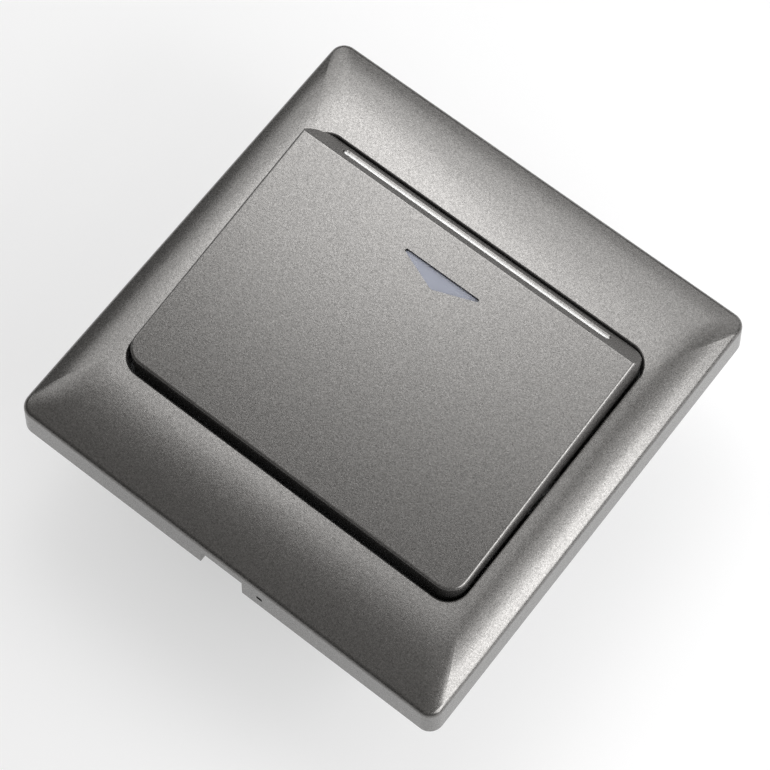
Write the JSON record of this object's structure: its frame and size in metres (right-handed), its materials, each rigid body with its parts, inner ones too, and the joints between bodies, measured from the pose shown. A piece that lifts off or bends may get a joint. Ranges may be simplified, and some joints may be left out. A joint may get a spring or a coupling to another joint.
{
  "type": "hotel key card switch",
  "caption": "Square wall plate with a wedge-shaped cover and a card slot; a card pushed in tilts a sprung feeler that presses a switch and powers the room.",
  "frame": {"origin": "centre of the plate on the wall plane, midway between the two box-screw slots", "axes": "+Z out of the wall towards the viewer, +Y up the wall towards the card slot, +X to the right"},
  "size_m": [0.086, 0.086, 0.0448],
  "materials": {
    "champagne_paint": "satin metallic paint on moulded plastic",
    "milky_lens": "translucent, lightly frosted",
    "white_plastic": "glossy white moulding",
    "zinc_steel": "bright zinc plated",
    "natural_acetal": "waxy off-white",
    "bright_steel": "drawn and polished",
    "grey_plastic": "fine grained moulding",
    "galvanised_sheet": "galvanised, dull",
    "charcoal_plastic": "fine grained, flame retardant moulding",
    "board_laminate": "satin solder mask",
    "tinned_wire": "tinned",
    "relay_case": "glossy moulding",
    "film_case": "glossy moulding",
    "can_sleeve": "shrink sleeve over an aluminium can",
    "varistor_coat": "dipped epoxy",
    "fuse_case": "moulded cap",
    "resistor_coat": "dipped coat",
    "black_epoxy": "moulded epoxy",
    "lamp_epoxy": "water clear epoxy",
    "switch_case": "moulded",
    "plunger_plastic": "moulded",
    "terminal_plastic": "moulded",
    "brass_cage": "nickel-free, bright"
  },
  "bodies": {
    "base": {"base_carrier": "grey_plastic", "mounting_yoke": "galvanised_sheet", "yoke_screws": "zinc_steel", "rear_housing": "charcoal_plastic", "housing_screws_long": "zinc_steel", "housing_screws_short": "zinc_steel", "circuit_board": "board_laminate", "component_leads": "tinned_wire", "relay": "relay_case", "film_capacitor": "film_case", "smoothing_capacitor": "can_sleeve", "varistor": "varistor_coat", "fuse": "fuse_case", "resistors": "resistor_coat", "diodes": "black_epoxy", "timer_chip": "black_epoxy", "locator_lamp": "lamp_epoxy", "micro_switch": "switch_case", "switch_terminals": "tinned_wire", "terminal_block": "terminal_plastic", "terminal_clamps": "brass_cage", "terminal_screws": "zinc_steel", "feeler_pin": "bright_steel", "feeler_spring": "bright_steel"},
    "frame": {"outer_frame": "champagne_paint"},
    "cover": {"front_cover": "champagne_paint", "arrow_lens": "milky_lens", "card_pocket": "white_plastic", "pocket_screws": "zinc_steel"},
    "feeler": {"card_feeler": "natural_acetal"},
    "plunger": {"switch_plunger": "plunger_plastic"}
  },
  "joints": [
    {"name": "frame_lift", "type": "slide", "parent": "base", "child": "frame", "axis": [0, 0, 1], "range_m": [0, 0.03]},
    {"name": "cover_lift", "type": "slide", "parent": "base", "child": "cover", "axis": [0, 0, 1], "range_m": [0, 0.03]},
    {"name": "feeler_turn", "type": "hinge", "parent": "base", "child": "feeler", "pos_m": [0, 0.006, 0.00689], "axis": [1, 0, 0], "range_deg": [0, 6.6], "stiffness_Nm_per_rad": 0.05, "springref_deg": -11.46, "deforming": ["feeler_spring"]},
    {"name": "plunger_press", "type": "slide", "parent": "base", "child": "plunger", "axis": [0, 0, -1], "range_m": [0, 0.0012]}
  ],
  "couplings": [
    {"joint": "plunger_press", "follows": "feeler_turn", "m_per_rad": 0.01}
  ]
}
